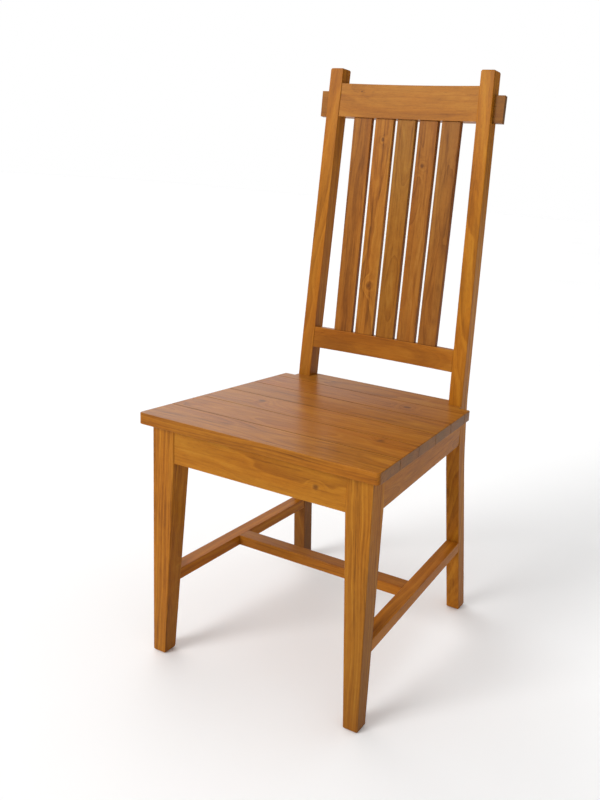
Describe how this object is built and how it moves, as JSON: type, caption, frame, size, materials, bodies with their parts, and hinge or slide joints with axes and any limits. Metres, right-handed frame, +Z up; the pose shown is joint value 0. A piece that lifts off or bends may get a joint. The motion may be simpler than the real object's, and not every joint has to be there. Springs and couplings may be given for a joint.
{
  "type": "dining chair",
  "caption": "Slat-back wooden dining chair with a boarded seat, tapered front legs, an H stretcher and a bowed crest rail with through tenons.",
  "frame": {"origin": "on the floor, under the middle of the chair's bounding box", "axes": "+X to the chair's right seen from the front, +Y to the back, +Z up; the chair faces -Y"},
  "size_m": [0.4654, 0.4818, 1.082],
  "materials": {
    "honey_wood": "satin lacquer",
    "amber_wood": "satin lacquer",
    "pale_wood": "sawn, unfinished",
    "screw_steel": "zinc plated"
  },
  "bodies": {
    "root": {"front_apron": "honey_wood", "cross_stretcher": "honey_wood", "crest_rail": "honey_wood", "lower_back_rail": "honey_wood", "back_slat_1": "honey_wood", "back_slat_2": "honey_wood", "back_slat_3": "honey_wood", "back_slat_4": "honey_wood", "back_slat_5": "honey_wood", "seat_board_1": "honey_wood", "seat_board_2": "honey_wood", "seat_board_3": "honey_wood", "seat_board_4": "honey_wood", "seat_board_5": "honey_wood", "seat_board_6": "honey_wood", "front_leg_left": "amber_wood", "front_leg_right": "amber_wood", "rear_post_left": "amber_wood", "rear_post_right": "amber_wood", "rear_apron": "amber_wood", "side_apron_left": "amber_wood", "side_apron_right": "amber_wood", "side_stretcher_left": "amber_wood", "side_stretcher_right": "amber_wood", "corner_block_front_left": "pale_wood", "corner_block_front_right": "pale_wood", "corner_block_rear_left": "pale_wood", "corner_block_rear_right": "pale_wood", "seat_cleat_left": "pale_wood", "seat_cleat_right": "pale_wood", "seat_cleat_front": "pale_wood", "corner_block_screws": "screw_steel", "cleat_screws": "screw_steel", "seat_screws": "screw_steel"}
  },
  "joints": []
}
